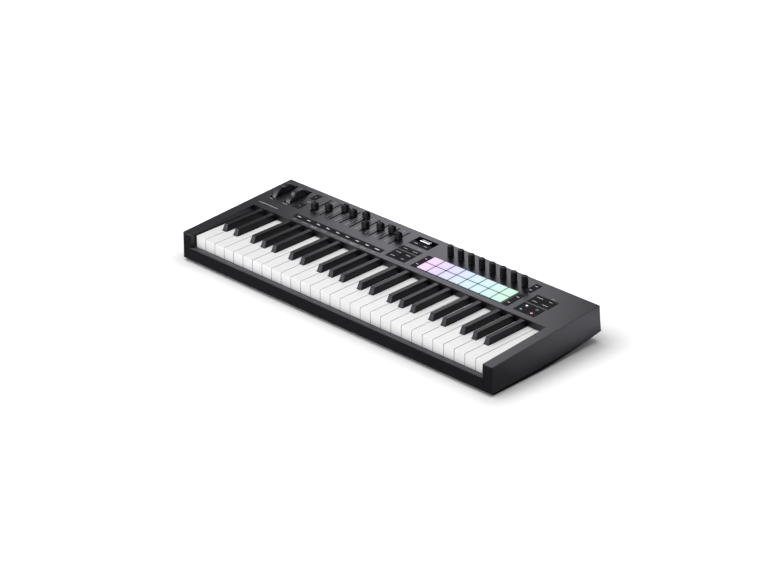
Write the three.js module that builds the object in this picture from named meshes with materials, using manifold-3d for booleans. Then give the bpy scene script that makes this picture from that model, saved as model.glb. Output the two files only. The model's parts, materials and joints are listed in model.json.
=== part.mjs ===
// A 49-key controller keyboard: wedge case, hinged keys, wheels, faders, encoders, pads, buttons
// and the parts inside. Millimetres, +Z up, +X to the player's right, +Y away from the player.
// Origin: on the surface the feet stand on, under the middle of the case.

import * as THREE from 'three';
import { mergeVertices } from 'three/addons/utils/BufferGeometryUtils.js';
import Module from 'manifold-3d';

const wasm = await Module();
wasm.setup();

// ---------------------------------------------------------------- driving dimensions
// Key frame: y = 0 at the front edge of the natural keys, z = 0 at their top surface.
const NATURAL_PITCH = 23.5;
const NATURAL_COUNT = 29;
const KEYS_WIDTH = NATURAL_PITCH * NATURAL_COUNT;
const NATURAL_GAP = 0.9;
const NATURAL_HEIGHT = 22;
const KEY_THICK = 8;
const SHARP_FRONT = 47;
const SHARP_REAR = 137;
const SHARP_HEIGHT = 12;
const SHARP_FOOT_WIDTH = 10.6;
const SHARP_TOP_WIDTH = 9;
const SHARP_CUT_WIDTH = 12;
const SHANK = { half: 4.8, bottom: -10, top: -0.4 };
const COMB = { natural: [172.6, 175.6, -2], sharp: [165, 169, -13, -9.8] };
const KEY_REAR = 171.8;

const FLOOR_Z = -49.5;
const CASE_WIDTH = 726;
const CASE_FRONT = -12.5;
const CASE_FRONT_TOP = 4.1;
const CASE_FRONT_BOTTOM = -44.2;
const CASE_REAR_TOP = 253.1;
const CASE_REAR_BOTTOM = { y: 259.3, z: -30.6 };
const PANEL_SLOPE = THREE.MathUtils.degToRad(3.29);
const WALL = 3;
const KEY_WELL_HALF = 342.5;
const PANEL_WALL = 141;
const PANEL_WALL_FOOT = 1.5;
const SLIP_TOP = -20.6;
const LEDGE_TOP = -21.9;
const TRAY_FLOOR = -47.4;
const TRAY_THICK = 2.5;
const TRAY_REAR = { y: 255.6, z: -31.1 };
const GAP = 0.3;

const HALF_WIDTH = CASE_WIDTH / 2;
const KEYS_LEFT = -KEYS_WIDTH / 2;
const CASE_MID_Y = (CASE_FRONT + CASE_REAR_BOTTOM.y) / 2;

// Panel frame: t runs up the sloping panel from its front edge, h stands square to it.
const FADER = { firstX: -246.3, pitch: 24, slotFront: 199.3, slotRear: 252.7, slotWidth: 2.6 };
const FADER_REST_T = [210.9, 221.9, 239, 234.8, 242.7, 215.9, 229, 233.3, 223.5];
const ENCODER = { firstX: 56, pitch: 24, t: 237, count: 8, radius: 5.9, height: 19 };
const HOLE_RADIUS = { encoder: 3.8, midi: 8.2, jack: 4.6 };
const USB_HOLE = { halfWidth: 6, bottom: -13.8, top: -8.2 };
const PAD = { left: 40.4, front: 166.4, pitch: 24, columns: 8, rows: 2, size: 21.6, rise: 1 };
const WHEEL = { radius: 29.2, axisT: 222.95, axisH: -14.2, width: 9.8, slotWidth: 13.4, notchDepth: 3 };
const WHEEL_SLOT = { front: 193.3, rear: 252.6 };
const PITCH_WHEEL_X = -336.1;
const MOD_WHEEL_X = -301.5;
const WHEEL_NOTCH = THREE.MathUtils.degToRad(27);
const MOD_WHEEL_REST = THREE.MathUtils.degToRad(-33.5);
const BUTTON_RISE = 0.35;
const BUTTON_GAP = 0.7;
const MAT = { top: -3.4, bottom: -4.4 };
const BOARD = { top: -7, bottom: -8.6 };
const SOCKETS = { midi: { x: 205, z: -3, radius: 7.6 }, jack: { z: -7, radius: 3.25 }, usb: { x: 252 } };
const JACK_X = [165, 138];

// Windows in the panel: [x0, x1, t0, t1, button columns, button rows].
const LEFT_WINDOWS = [
  [-257.6, -43, 164.7, 177.8, 9, 1],
  [-282.2, -268.8, 232.2, 253.8, 1, 1],
  [-282.2, -268.8, 191.8, 213.2, 1, 1],
];
const CENTRE_WINDOWS = [
  [-31.3, 14.1, 223.7, 237.5, 2, 1],
  [-31.7, 13.8, 198.7, 211.6, 2, 1],
  [-31.7, 13.8, 165.7, 196.1, 2, 2],
  [27.6, 39.2, 165.4, 211.8, 1, 2],
];
const RIGHT_WINDOWS = [
  [235.2, 247.5, 165.9, 211.3, 1, 2],
  [234.7, 248.3, 224.2, 254.3, 1, 2],
  [260.5, 307.3, 199.2, 227.7, 2, 2],
  [260.3, 305.8, 165.7, 195.3, 2, 2],
];
const DISPLAY_WINDOW = { x0: -31.3, x1: 14.1, t0: 238.1, t1: 253.2 };

// Heights of the parts inside the keybed, key frame.
const CHASSIS = {
  halfWidth: 341, bottom: -37, floorTop: -35, front: 2, rear: 172, pivotTop: -14.2, pivotBottom: -16.2,
  pivotFront: 157, guideTop: -18, boardRestTop: -27.9,
};
const FELT = { halfWidth: 340, front: 0.2, rear: 12, bottom: -34.7, top: -32.4 };
const CONTACT_BOARD = { front: 84, rear: 116, bottom: -27.6, top: -26 };
const CONTACT_STRIP = { front: 86, rear: 114, bottom: -25.7, top: -24.6 };
const DOME = { y: 100, height: 6.3, topRadius: 2.8, footRadius: 4.6 };
const ACTUATOR_RIB = { halfWidth: 3, front: 98, rear: 102, bottom: -13.5 };
const PIVOT_RIB = { halfWidth: 3, front: 160, rear: 163, bottom: -13.2 };
const CRADLE = { left: [-347, -344.5], middle: [-322.5, -318], right: [-291.8, -289.3] };
const CRADLE_SIDE = { front: 210, rear: 236, bottom: -48, floorTop: -46, top: -6, bearing: 3.3 };
const WHEEL_AXLE = 2.9;
const WHEEL_HUB = 6;
const POT_BOARD = { bottom: -13.6, top: -12 };
const IO_BOARD = { left: 120, right: 270, front: 222, bottom: -14.6, top: -13 };
const SOCKET_FACE = 250.6;
const CUT_BELOW_PANEL = -6;
const CUT_ABOVE_PANEL = 2;

// ---------------------------------------------------------------- frames
const keyboard = new THREE.Group();
keyboard.position.set(0, -CASE_MID_Y, -FLOOR_Z);
const panel = new THREE.Group();
panel.position.set(0, CASE_FRONT, CASE_FRONT_TOP);
panel.rotation.x = PANEL_SLOPE;
panel.updateMatrix();
keyboard.add(panel);

const panelHeight = (y) => CASE_FRONT_TOP + (y - CASE_FRONT) * Math.tan(PANEL_SLOPE);

// ---------------------------------------------------------------- solids
function solid(geometry) {
  const bare = new THREE.BufferGeometry();
  bare.setAttribute('position', geometry.attributes.position);
  bare.setIndex(geometry.index);
  const merged = mergeVertices(bare, 1e-4);
  const corners = [];
  for (let i = 0; i < merged.index.count; i += 3) {
    const [a, b, c] = [0, 1, 2].map((k) => merged.index.getX(i + k));
    if (a !== b && b !== c && c !== a) {
      corners.push(a, b, c);
    }
  }
  return new wasm.Manifold(new wasm.Mesh({
    numProp: 3,
    vertProperties: new Float32Array(merged.attributes.position.array),
    triVerts: new Uint32Array(corners),
  }));
}

const join = (...geometries) => geometries.map(solid).reduce((a, b) => a.add(b));
const cut = (body, ...geometries) => geometries.map(solid).reduce((a, b) => a.subtract(b), body);

function box(x0, x1, y0, y1, z0, z1) {
  const geometry = new THREE.BoxGeometry(x1 - x0, y1 - y0, z1 - z0);
  return geometry.translate((x0 + x1) / 2, (y0 + y1) / 2, (z0 + z1) / 2);
}

// A box in the panel frame, moved into the key frame.
const panelBox = (...limits) => box(...limits).applyMatrix4(panel.matrix);

// A [y, z] outline extruded along X.
function prism(outline, x0, x1) {
  const shape = new THREE.Shape(outline.map(([y, z]) => new THREE.Vector2(y, z)));
  const geometry = new THREE.ExtrudeGeometry(shape, { depth: x1 - x0, bevelEnabled: false });
  return geometry.applyMatrix4(new THREE.Matrix4().set(0, 0, 1, x0, 1, 0, 0, 0, 0, 1, 0, 0, 0, 0, 0, 1));
}

// A round bar along X, Y or Z, from start to end on that axis.
function bar(axis, radius, start, end, segments = 16) {
  const geometry = new THREE.CylinderGeometry(radius, radius, end - start, segments);
  geometry.translate(0, (start + end) / 2, 0);
  if (axis === 'x') {
    geometry.rotateZ(-Math.PI / 2);
  }
  if (axis === 'z') {
    geometry.rotateX(Math.PI / 2);
  }
  return geometry;
}

function curve(from, bend, to, divisions) {
  const bezier = new THREE.QuadraticBezierCurve(
    new THREE.Vector2(...from), new THREE.Vector2(...bend), new THREE.Vector2(...to));
  return bezier.getPoints(divisions).map((p) => [p.x, p.y]);
}

const shift = (points, dy, dz) => points.map(([y, z]) => [y + dy, z + dz]);

function piece(parent, name, body, color, roughness, metalness = 0) {
  const { vertProperties, triVerts } = body.getMesh();
  const geometry = new THREE.BufferGeometry();
  geometry.setAttribute('position', new THREE.BufferAttribute(new Float32Array(vertProperties), 3));
  geometry.setIndex(new THREE.BufferAttribute(new Uint32Array(triVerts), 1));
  geometry.computeVertexNormals();
  const material = new THREE.MeshStandardMaterial({ color, roughness, metalness });
  const mesh = new THREE.Mesh(geometry, material);
  mesh.name = name;
  parent.add(mesh);
  return mesh;
}

// ---------------------------------------------------------------- case
const REAR_FACE = curve([CASE_REAR_BOTTOM.y, CASE_REAR_BOTTOM.z], [254.6, -4],
  [CASE_REAR_TOP, panelHeight(CASE_REAR_TOP)], 4);
const SKIRT_EDGE = curve([CASE_FRONT, CASE_FRONT_BOTTOM], [170, -40.8],
  [CASE_REAR_BOTTOM.y, CASE_REAR_BOTTOM.z], 8);
const TRAY_EDGE = [
  [CASE_FRONT + WALL + GAP, TRAY_FLOOR + 1.2],
  [CASE_FRONT + WALL + 5, TRAY_FLOOR],
  ...curve([98, TRAY_FLOOR], [140, TRAY_FLOOR], [TRAY_REAR.y, TRAY_REAR.z], 6),
];

function topCase() {
  const outside = [...SKIRT_EDGE, ...REAR_FACE.slice(1), [CASE_FRONT, CASE_FRONT_TOP]];
  const below = -60;
  const hollowRear = [
    [PANEL_WALL + WALL, below],
    [REAR_FACE[0][0] - WALL, below],
    ...shift(REAR_FACE.slice(0, -1), -WALL, 0),
    [CASE_REAR_TOP - WALL, panelHeight(CASE_REAR_TOP) - WALL],
    [PANEL_WALL + WALL, panelHeight(PANEL_WALL + WALL) - WALL],
  ];
  const hollowCheek = [
    [CASE_FRONT + WALL, below],
    [PANEL_WALL + WALL + 0.1, below],
    [PANEL_WALL + WALL + 0.1, panelHeight(PANEL_WALL) - WALL],
    [CASE_FRONT + WALL, panelHeight(CASE_FRONT) - WALL],
  ];
  const inner = HALF_WIDTH - WALL;
  const cheekInner = KEY_WELL_HALF + WALL;
  const shell = cut(
    solid(prism(outside, -HALF_WIDTH, HALF_WIDTH)),
    prism(hollowRear, -inner, inner),
    prism(hollowCheek, -inner, -cheekInner),
    prism(hollowCheek, cheekInner, inner),
    box(-KEY_WELL_HALF, KEY_WELL_HALF, CASE_FRONT - 1, PANEL_WALL, SLIP_TOP, 60),
    box(-KEY_WELL_HALF, KEY_WELL_HALF, CASE_FRONT + WALL, PANEL_WALL + WALL + 0.1, below, PANEL_WALL_FOOT),
  );
  const ledge = box(-KEY_WELL_HALF - 1, KEY_WELL_HALF + 1, CASE_FRONT + WALL - 0.5, -0.6,
    LEDGE_TOP - WALL, LEDGE_TOP);
  const windows = [...LEFT_WINDOWS, ...CENTRE_WINDOWS, ...RIGHT_WINDOWS]
    .map(([x0, x1, t0, t1]) => panelBox(x0, x1, t0, t1, CUT_BELOW_PANEL, CUT_ABOVE_PANEL));
  const padWidth = PAD.pitch * PAD.columns;
  const padDepth = PAD.pitch * PAD.rows;
  windows.push(panelBox(PAD.left - GAP, PAD.left + padWidth + GAP, PAD.front - GAP,
    PAD.front + padDepth + GAP, CUT_BELOW_PANEL, CUT_ABOVE_PANEL));
  windows.push(panelBox(DISPLAY_WINDOW.x0, DISPLAY_WINDOW.x1, DISPLAY_WINDOW.t0 - 1,
    DISPLAY_WINDOW.t1, CUT_BELOW_PANEL, CUT_ABOVE_PANEL));
  for (const x of [PITCH_WHEEL_X, MOD_WHEEL_X]) {
    windows.push(panelBox(x - WHEEL.slotWidth / 2, x + WHEEL.slotWidth / 2,
      WHEEL_SLOT.front, WHEEL_SLOT.rear, CUT_BELOW_PANEL, CUT_ABOVE_PANEL));
  }
  FADER_REST_T.forEach((rest, i) => {
    const x = FADER.firstX + FADER.pitch * i;
    windows.push(panelBox(x - FADER.slotWidth / 2, x + FADER.slotWidth / 2,
      FADER.slotFront, FADER.slotRear, CUT_BELOW_PANEL, CUT_ABOVE_PANEL));
  });
  for (let i = 0; i < ENCODER.count; i += 1) {
    const hole = bar('z', HOLE_RADIUS.encoder, CUT_BELOW_PANEL, CUT_ABOVE_PANEL, 12).translate(ENCODER.firstX + ENCODER.pitch * i, ENCODER.t, 0);
    windows.push(hole.applyMatrix4(panel.matrix));
  }
  const rear = [245, 265];
  windows.push(bar('y', HOLE_RADIUS.midi, ...rear).translate(SOCKETS.midi.x, 0, SOCKETS.midi.z));
  for (const x of JACK_X) {
    windows.push(bar('y', HOLE_RADIUS.jack, ...rear).translate(x, 0, SOCKETS.jack.z));
  }
  windows.push(box(SOCKETS.usb.x - USB_HOLE.halfWidth, SOCKETS.usb.x + USB_HOLE.halfWidth, ...rear,
    USB_HOLE.bottom, USB_HOLE.top));
  return cut(shell.add(solid(ledge)), ...windows);
}

const REAR_FOOT_SEAT = -42;
const FEET = [
  ['front_left_foot', -300, 20, TRAY_FLOOR],
  ['front_right_foot', 300, 20, TRAY_FLOOR],
  ['rear_left_foot', -300, 190, REAR_FOOT_SEAT],
  ['rear_right_foot', 300, 190, REAR_FOOT_SEAT],
];

function bottomCase() {
  const side = HALF_WIDTH - 0.6;
  const skirtInner = HALF_WIDTH - WALL - GAP;
  const floorTop = [[TRAY_EDGE[0][0], TRAY_FLOOR], ...TRAY_EDGE.slice(1)];
  const floor = [...TRAY_EDGE, ...shift(floorTop, 0, TRAY_THICK).reverse()];
  const lip = shift(SKIRT_EDGE, 0, -GAP).filter(([y]) => y > TRAY_EDGE[0][0] && y < TRAY_REAR.y);
  const wallTop = [[TRAY_REAR.y, TRAY_REAR.z + 0.4], ...lip.reverse(), [TRAY_EDGE[0][0], -44.4]];
  const wall = [...TRAY_EDGE, ...wallTop];
  const skirtZone = [...shift(SKIRT_EDGE, 0, -GAP), [262, 20], [CASE_FRONT - 1, 20]];
  const rib = [[20, TRAY_FLOOR + 1], [150, TRAY_FLOOR + 4.5], [150, -37.3], [20, -37.3]];
  const seats = FEET.filter(([, , y]) => y > 100)
    .map(([, x, y, seat]) => bar('z', 11, seat, -38.2, 20).translate(x, y, 0));
  let tray = join(
    prism(floor, -side, side),
    prism(wall, -side, -skirtInner),
    prism(wall, skirtInner, side),
    ...[-330, -110, 110, 330].map((x) => prism(rib, x - 1.5, x + 1.5)),
    ...seats,
  );
  tray = cut(tray, prism(skirtZone, -HALF_WIDTH - 1, -skirtInner), prism(skirtZone, skirtInner, HALF_WIDTH + 1));
  const pegHoles = FEET.map(([, x, y]) => bar('z', 3.4, -60, -30).translate(x, y, 0));
  return cut(tray, ...pegHoles);
}

// A rubber foot: tapered disc with a peg that plugs into the tray.
function foot(seat) {
  const disc = new THREE.CylinderGeometry(10, 8.6, seat - GAP - FLOOR_Z, 20);
  disc.rotateX(Math.PI / 2);
  disc.translate(0, 0, (seat - GAP + FLOOR_Z) / 2);
  return join(disc, bar('z', 3, seat - 1, seat + 2.2, 12));
}

// ---------------------------------------------------------------- keybed
// An open trough with a pivot shelf behind, a guide comb in front and two rests for the contact board.
function chassis() {
  const { bottom, floorTop, front, rear, pivotTop, pivotBottom, pivotFront, guideTop, boardRestTop } = CHASSIS;
  const rest = (y) => [[y + 2, floorTop], [y + 2, boardRestTop], [y, boardRestTop], [y, floorTop]];
  const outline = [
    [front, bottom], [rear, bottom], [rear, pivotTop], [pivotFront, pivotTop], [pivotFront, pivotBottom],
    [rear - 2, pivotBottom], [rear - 2, floorTop],
    ...rest(CONTACT_BOARD.rear - 3), ...rest(CONTACT_BOARD.front + 1),
    [front + 18, floorTop], [front + 18, guideTop], [front + 16, guideTop], [front + 16, floorTop],
    [front, floorTop],
  ];
  return solid(prism(outline, -CHASSIS.halfWidth, CHASSIS.halfWidth));
}

function contactStrip(keyCentres) {
  const { y, height, topRadius, footRadius } = DOME;
  const domes = keyCentres.map((x) => {
    const dome = new THREE.CylinderGeometry(topRadius, footRadius, height, 4, 1, false, Math.PI / 4);
    return dome.rotateX(Math.PI / 2).translate(x, y, CONTACT_STRIP.top - 0.1 + height / 2);
  });
  const { halfWidth } = CHASSIS;
  return join(box(-halfWidth, halfWidth, CONTACT_STRIP.front, CONTACT_STRIP.rear, CONTACT_STRIP.bottom,
    CONTACT_STRIP.top), ...domes);
}

// Sharps in an octave: [semitone name, natural it follows, offset from the gap behind that natural].
const NATURAL_NAMES = ['c', 'd', 'e', 'f', 'g', 'a', 'b'];
const SHARPS = [['c', 0, -2], ['d', 1, 2], ['f', 3, -3], ['g', 4, 0], ['a', 5, 3]];

const sharpCentre = (octaveLeft, [, natural, offset]) =>
  octaveLeft + (natural + 1) * NATURAL_PITCH + offset;

// The two ribs under every key, from the given height down.
function ribs(middle, top) {
  return [ACTUATOR_RIB, PIVOT_RIB].map(({ halfWidth, front, rear, bottom }) =>
    box(middle - halfWidth, middle + halfWidth, front, rear, bottom, top));
}

// A natural key: top plate cut back beside the sharps, front lip, actuator rib and pivot rib.
function naturalParts(left, cutLeft, cutRight) {
  const x0 = left + NATURAL_GAP / 2;
  const x1 = left + NATURAL_PITCH - NATURAL_GAP / 2;
  const neck0 = Math.max(x0, cutLeft);
  const neck1 = Math.min(x1, cutRight);
  const step = SHARP_FRONT - 1;
  const middle = (neck0 + neck1) / 2;
  return [
    box(x0, x1, 0, step + 0.01, -KEY_THICK, 0),
    box(neck0, neck1, step, KEY_REAR, -KEY_THICK, 0),
    box(x0, x1, 0, 2.6, -NATURAL_HEIGHT, -KEY_THICK + 1),
    ...ribs(middle, -KEY_THICK + 1),
  ];
}

// A sharp key: tapered cap, shank, actuator rib and pivot rib.
function sharpParts(centre) {
  const profile = [
    [SHARP_FRONT, -0.5], [SHARP_FRONT + 5, SHARP_HEIGHT], [SHARP_REAR, SHARP_HEIGHT], [SHARP_REAR, -0.5],
  ];
  const half = SHARP_FOOT_WIDTH / 2;
  const cap = prism(profile, -half, half);
  const position = cap.attributes.position;
  for (let i = 0; i < position.count; i += 1) {
    const rise = Math.max(position.getZ(i), 0) / SHARP_HEIGHT;
    position.setX(i, position.getX(i) * (1 - rise * (1 - SHARP_TOP_WIDTH / SHARP_FOOT_WIDTH)));
  }
  cap.translate(centre, 0, 0);
  return [
    cap,
    box(centre - SHANK.half, centre + SHANK.half, SHARP_FRONT + 0.6, KEY_REAR, SHANK.bottom, SHANK.top),
    ...ribs(centre, SHANK.bottom + 1),
  ];
}

function cutsBeside(natural, octaveLeft) {
  const half = SHARP_CUT_WIDTH / 2;
  const left = SHARPS.find(([, after]) => after === natural - 1);
  const right = SHARPS.find(([, after]) => after === natural);
  return [
    left ? sharpCentre(octaveLeft, left) + half : -Infinity,
    right ? sharpCentre(octaveLeft, right) - half : Infinity,
  ];
}

const IVORY = 0xe9e8e8;
const EBONY = 0x26262a;
const FIRST_OCTAVE = 2;
const OCTAVES = 4;
const SINGLE_KEY_OCTAVE = 4;

function addKeys() {
  const centres = [];
  for (let n = 0; n < OCTAVES; n += 1) {
    const octave = FIRST_OCTAVE + n;
    const octaveLeft = KEYS_LEFT + n * 7 * NATURAL_PITCH;
    const octaveRight = octaveLeft + 7 * NATURAL_PITCH;
    const naturals = NATURAL_NAMES.map((name, i) =>
      naturalParts(octaveLeft + i * NATURAL_PITCH, ...cutsBeside(i, octaveLeft)));
    const sharps = SHARPS.map((sharp) => sharpParts(sharpCentre(octaveLeft, sharp)));
    NATURAL_NAMES.forEach((name, i) => {
      const [cutLeft, cutRight] = cutsBeside(i, octaveLeft);
      const left = octaveLeft + i * NATURAL_PITCH;
      centres.push((Math.max(left, cutLeft) + Math.min(left + NATURAL_PITCH, cutRight)) / 2);
    });
    SHARPS.forEach((sharp) => centres.push(sharpCentre(octaveLeft, sharp)));
    if (octave === SINGLE_KEY_OCTAVE) {
      naturals.forEach((parts, i) =>
        piece(keyboard, `key_${NATURAL_NAMES[i]}${octave}`, join(...parts), IVORY, 0.35));
      sharps.forEach((parts, i) =>
        piece(keyboard, `key_${SHARPS[i][0]}_sharp_${octave}`, join(...parts), EBONY, 0.45));
    } else {
      const [barFront, barRear, barTop] = COMB.natural;
      const naturalBar = box(octaveLeft + NATURAL_GAP / 2, octaveRight - NATURAL_GAP / 2, barFront, barRear,
        -KEY_THICK, barTop);
      const tails = NATURAL_NAMES.map((name, i) => {
        const [cutLeft, cutRight] = cutsBeside(i, octaveLeft);
        const left = octaveLeft + i * NATURAL_PITCH;
        return box(Math.max(left + NATURAL_GAP / 2, cutLeft) + 1,
          Math.min(left + NATURAL_PITCH - NATURAL_GAP / 2, cutRight) - 1,
          KEY_REAR - 1, barFront + 0.4, -KEY_THICK, barTop);
      });
      piece(keyboard, `natural_keys_octave_${octave}`, join(...naturals.flat(), naturalBar, ...tails),
        IVORY, 0.35);
      const first = sharpCentre(octaveLeft, SHARPS[0]);
      const last = sharpCentre(octaveLeft, SHARPS[4]);
      const sharpBar = box(first - SHANK.half, last + SHANK.half, ...COMB.sharp);
      piece(keyboard, `sharp_keys_octave_${octave}`, join(...sharps.flat(), sharpBar), EBONY, 0.45);
    }
  }
  const topLeft = KEYS_LEFT + KEYS_WIDTH - NATURAL_PITCH;
  centres.push(topLeft + NATURAL_PITCH / 2);
  const topOctave = FIRST_OCTAVE + OCTAVES;
  piece(keyboard, `key_c${topOctave}`, join(...naturalParts(topLeft, -Infinity, Infinity)), IVORY, 0.35);
  return centres;
}

// ---------------------------------------------------------------- panel controls
// Side profile of a fader cap, [t, h] from its middle: two upright plates with a valley between.
const FADER_CAP = {
  halfWidth: 5.9,
  profile: [
    [-4.9, 0.8], [4.9, 0.8], [4.5, 12.2], [3.8, 12.8], [2.3, 12.8], [1.5, 5], [-1.2, 5], [-1.8, 13],
    [-4, 13.2], [-4.7, 12.4],
  ],
};
const FADER_LEVER = { halfWidth: 0.6, halfDepth: 2, bottom: -8.2 };
const FADER_POT = { halfWidth: 4.5, front: 195.5, rear: 256, top: -3.6 };
const FADER_TRACK = { halfWidth: 1.3, front: 198, rear: 254, bottom: -9.2 };

function fader() {
  const { halfWidth, halfDepth, bottom } = FADER_LEVER;
  return join(
    prism(FADER_CAP.profile, -FADER_CAP.halfWidth, FADER_CAP.halfWidth),
    box(-halfWidth, halfWidth, -halfDepth, halfDepth, bottom, 2),
  );
}

function faderBoard() {
  const xs = FADER_REST_T.map((rest, i) => FADER.firstX + FADER.pitch * i);
  const { front, rear } = FADER_POT;
  const board = box(xs[0] - 8, xs[8] + 8, front - 1.5, rear, POT_BOARD.bottom, POT_BOARD.top);
  const pots = xs.map((x) => box(x - FADER_POT.halfWidth, x + FADER_POT.halfWidth, front, rear,
    POT_BOARD.top - 0.1, FADER_POT.top));
  const tracks = xs.map((x) => box(x - FADER_TRACK.halfWidth, x + FADER_TRACK.halfWidth, FADER_TRACK.front,
    FADER_TRACK.rear, FADER_TRACK.bottom, FADER_POT.top + 0.6));
  return cut(join(board, ...pots), ...tracks);
}

const ENCODER_SHAFT = { radius: 3, bottom: -7.5 };
const ENCODER_BODY = { half: 6, top: -4.2, bore: 3.6, boreBottom: -8.6 };

function encoderKnob() {
  const { radius, height } = ENCODER;
  const profile = [
    [0, ENCODER_SHAFT.bottom], [ENCODER_SHAFT.radius, ENCODER_SHAFT.bottom], [ENCODER_SHAFT.radius, 0.8],
    [radius, 0.8], [radius, height - 1], [radius - 1, height], [0, height],
  ].map(([r, z]) => new THREE.Vector2(r, z));
  return solid(new THREE.LatheGeometry(profile, 20).rotateX(Math.PI / 2));
}

function encoderBoard() {
  const xs = Array.from({ length: ENCODER.count }, (none, i) => ENCODER.firstX + ENCODER.pitch * i);
  const { half, top, bore, boreBottom } = ENCODER_BODY;
  const board = box(xs[0] - half - 2.5, xs[7] + half + 1.8, ENCODER.t - half - 2, ENCODER.t + half + 2,
    POT_BOARD.bottom, POT_BOARD.top);
  const bodies = xs.map((x) => box(x - half, x + half, ENCODER.t - half, ENCODER.t + half,
    POT_BOARD.top - 0.1, top));
  const holes = xs.map((x) => bar('z', bore, boreBottom, top + 1.2, 10).translate(x, ENCODER.t, 0));
  return cut(join(board, ...bodies), ...holes);
}

function padMat() {
  const right = PAD.left + PAD.pitch * PAD.columns;
  const rear = PAD.front + PAD.pitch * PAD.rows;
  const margin = (PAD.pitch - PAD.size) / 2;
  const pads = [];
  for (let column = 0; column < PAD.columns; column += 1) {
    for (let row = 0; row < PAD.rows; row += 1) {
      const x = PAD.left + PAD.pitch * column + margin;
      const t = PAD.front + PAD.pitch * row + margin;
      pads.push(box(x, x + PAD.size, t, t + PAD.size, -3.5, PAD.rise));
    }
  }
  return join(box(PAD.left, right, PAD.front, rear, -4.2, -3.3), ...pads);
}

// A button mat: web strips under the panel and the buttons that stand up through the windows.
function buttonMat(windows, webs) {
  const buttons = windows.flatMap(([x0, x1, t0, t1, columns, rows]) => {
    const width = (x1 - x0 - BUTTON_GAP) / columns;
    const depth = (t1 - t0 - BUTTON_GAP) / rows;
    return Array.from({ length: columns * rows }, (none, n) => {
      const x = x0 + BUTTON_GAP + width * (n % columns);
      const t = t0 + BUTTON_GAP + depth * Math.floor(n / columns);
      return box(x, x + width - BUTTON_GAP, t, t + depth - BUTTON_GAP, MAT.top - 0.1, BUTTON_RISE);
    });
  });
  return join(...webs.map((limits) => box(...limits, MAT.bottom, MAT.top)), ...buttons);
}

const board = (...areas) => join(...areas.map((limits) => box(...limits, BOARD.bottom, BOARD.top)));

// A wheel: round rim with a thumb notch at the given angle from upright, hub and axle stubs.
function wheel(notchAngle, hub, axle) {
  const rim = [];
  const steps = 36;
  const start = notchAngle + WHEEL_NOTCH / 2;
  for (let i = 0; i <= steps; i += 1) {
    const angle = start + (i / steps) * (2 * Math.PI - WHEEL_NOTCH);
    rim.push([WHEEL.radius * Math.sin(angle), WHEEL.radius * Math.cos(angle)]);
  }
  const notchSteps = 6;
  for (let i = 1; i < notchSteps; i += 1) {
    const turn = i / notchSteps;
    const radius = WHEEL.radius - WHEEL.notchDepth * Math.sin(Math.PI * turn);
    const angle = notchAngle + (turn - 0.5) * WHEEL_NOTCH;
    rim.push([radius * Math.sin(angle), radius * Math.cos(angle)]);
  }
  const half = WHEEL.width / 2;
  return join(prism(rim, -half, half), bar('x', WHEEL_HUB, ...hub), bar('x', WHEEL_AXLE, ...axle, 12));
}

function wheelCradle() {
  const { front, rear, bottom, floorTop, top, bearing } = CRADLE_SIDE;
  const walls = Object.values(CRADLE).map(([x0, x1]) => box(x0, x1, front, rear, bottom, top));
  const base = box(CRADLE.left[0], CRADLE.right[1], front, rear, bottom, floorTop);
  const bore = bar('x', bearing, -350, -280, 12).translate(0, WHEEL.axisT, WHEEL.axisH);
  return cut(join(base, ...walls), bore);
}

function ioBoard() {
  const { midi, jack, usb } = SOCKETS;
  const { left, right, front, bottom, top } = IO_BOARD;
  const seat = top - 0.1;
  const bodies = [
    box(left, right, front, SOCKET_FACE - 0.6, bottom, top),
    box(midi.x - 10, midi.x + 10, SOCKET_FACE - 14.6, SOCKET_FACE, seat, 7),
    box(usb.x - 5, usb.x + 5, SOCKET_FACE - 7.6, SOCKET_FACE, seat, -9.4),
    ...JACK_X.map((x) => box(x - 7, x + 7, SOCKET_FACE - 24.6, SOCKET_FACE, seat, 0)),
  ];
  const holes = [
    bar('y', midi.radius, SOCKET_FACE - 8.6, SOCKET_FACE + 9, 20).translate(midi.x, 0, midi.z),
    box(usb.x - 4.3, usb.x + 4.3, SOCKET_FACE - 5.6, SOCKET_FACE + 9, -12.5, -10),
    ...JACK_X.map((x) => bar('y', jack.radius, SOCKET_FACE - 20.6, SOCKET_FACE + 9).translate(x, 0, jack.z)),
  ];
  return cut(join(...bodies), ...holes);
}

// ---------------------------------------------------------------- assembly
const CHARCOAL = 0x2f2f32;
const BLACK = 0x18181a;
const RUBBER = 0x1c1c1d;
const GREEN_BOARD = 0x1f4a2c;

piece(keyboard, 'top_case', topCase(), CHARCOAL, 0.5);
piece(keyboard, 'bottom_case', bottomCase(), BLACK, 0.6);
for (const [name, x, y, seat] of FEET) {
  piece(keyboard, name, foot(seat), RUBBER, 0.9).position.set(x, y, 0);
}

const keyCentres = addKeys();
piece(keyboard, 'keybed_chassis', chassis(), 0x3c3c40, 0.5);
piece(keyboard, 'key_felt', solid(box(-FELT.halfWidth, FELT.halfWidth, FELT.front, FELT.rear, FELT.bottom,
  FELT.top)), 0x7a1f24, 0.95);
piece(keyboard, 'contact_board', solid(box(-CHASSIS.halfWidth, CHASSIS.halfWidth, CONTACT_BOARD.front,
  CONTACT_BOARD.rear, CONTACT_BOARD.bottom, CONTACT_BOARD.top)), GREEN_BOARD, 0.6);
piece(keyboard, 'contact_strip', contactStrip(keyCentres), 0xb9b9bd, 0.8);
piece(keyboard, 'io_board', ioBoard(), GREEN_BOARD, 0.6);

FADER_REST_T.forEach((rest, i) => {
  const x = FADER.firstX + FADER.pitch * i;
  piece(panel, `fader_${i + 1}`, fader(), 0x2b2b2e, 0.5).position.set(x, rest, 0);
});
piece(panel, 'fader_board', faderBoard(), GREEN_BOARD, 0.6);

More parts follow.
